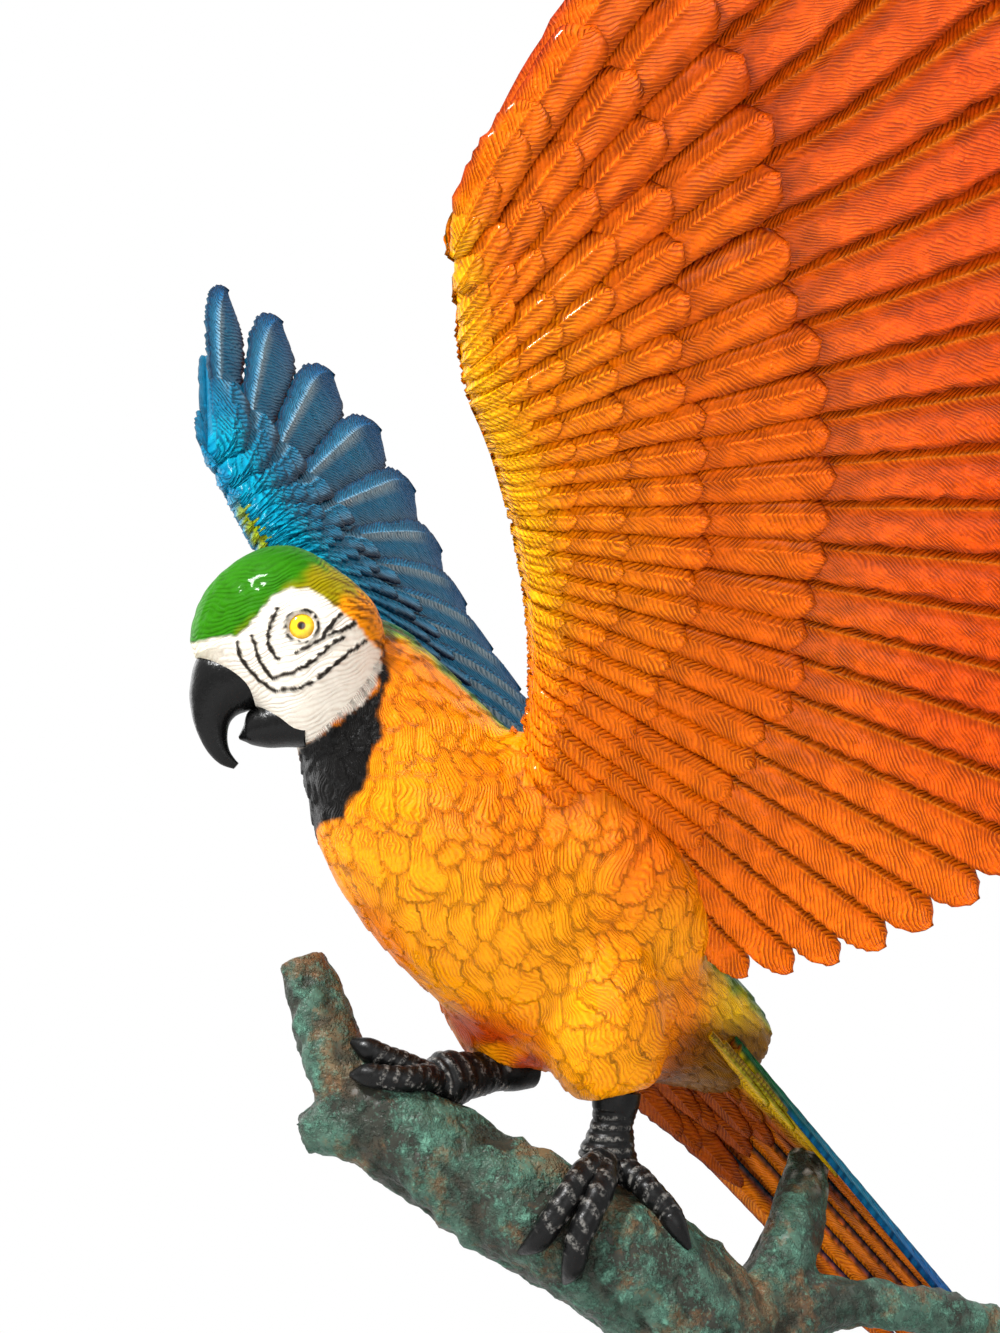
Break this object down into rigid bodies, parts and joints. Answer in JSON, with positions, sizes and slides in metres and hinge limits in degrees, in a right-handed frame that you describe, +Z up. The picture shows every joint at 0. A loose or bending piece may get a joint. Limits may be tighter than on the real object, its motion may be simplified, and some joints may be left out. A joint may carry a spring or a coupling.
{
  "type": "parrot figurine",
  "caption": "Painted resin parrot with raised, spread wings and a long tail, perched on a branch with a flared foot.",
  "frame": {"origin": "on the floor, under the middle of the figure's box", "axes": "+Z up; the bird's chest faces -Y, its left wing is on +X"},
  "size_m": [0.5266, 0.404, 0.6432],
  "materials": {
    "branch": "cast resin, verdigris paint over copper brown, semi-matt",
    "parrot_body": "cast resin, hand-painted golden orange with green crown, white face and black beak, glossy clear coat",
    "left_wing": "cast resin, hand-painted orange below and blue above, glossy clear coat",
    "right_wing": "cast resin, hand-painted orange below and blue above, glossy clear coat",
    "left_foot": "cast resin, black paint with worn pale scales",
    "right_foot": "cast resin, black paint with worn pale scales"
  },
  "bodies": {
    "figurine": {"branch": "branch", "parrot_body": "parrot_body", "left_wing": "left_wing", "right_wing": "right_wing", "left_foot": "left_foot", "right_foot": "right_foot"}
  },
  "joints": []
}
